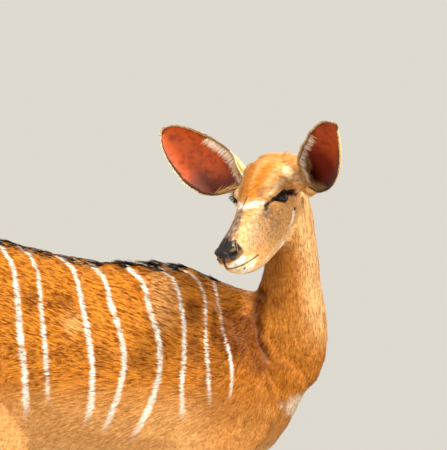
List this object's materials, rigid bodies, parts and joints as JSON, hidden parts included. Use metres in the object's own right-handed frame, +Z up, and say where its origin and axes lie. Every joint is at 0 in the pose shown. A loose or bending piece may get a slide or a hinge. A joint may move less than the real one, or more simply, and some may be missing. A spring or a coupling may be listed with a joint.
{
  "type": "nyala ewe",
  "caption": "Slender striped antelope with no horns, standing square and looking back over its right shoulder.",
  "frame": {"origin": "on the ground under the middle of the animal's outline, hooves standing on z = 0", "axes": "+X towards the chest, +Y to the animal's left, +Z up"},
  "size_m": [0.9454, 0.44, 1.1478],
  "materials": {
    "coat": "short rufous coat with white stripes",
    "tail_hair": "long soft hair",
    "ear": "thinly haired skin",
    "horn": "worn horn",
    "eye": "wet and glossy"
  },
  "bodies": {
    "root": {"torso": "coat", "neck": "coat", "head": "coat", "tail": "tail_hair", "foreleg_right": "coat", "hoof_fore_right_outer": "horn", "dewclaw_fore_right_outer": "horn", "hoof_fore_right_inner": "horn", "dewclaw_fore_right_inner": "horn", "foreleg_left": "coat", "hoof_fore_left_outer": "horn", "dewclaw_fore_left_outer": "horn", "hoof_fore_left_inner": "horn", "dewclaw_fore_left_inner": "horn", "hindleg_right": "coat", "hoof_hind_right_outer": "horn", "dewclaw_hind_right_outer": "horn", "hoof_hind_right_inner": "horn", "dewclaw_hind_right_inner": "horn", "hindleg_left": "coat", "hoof_hind_left_outer": "horn", "dewclaw_hind_left_outer": "horn", "hoof_hind_left_inner": "horn", "dewclaw_hind_left_inner": "horn", "ear_right": "ear", "eye_right": "eye", "ear_left": "ear", "eye_left": "eye"}
  },
  "joints": []
}
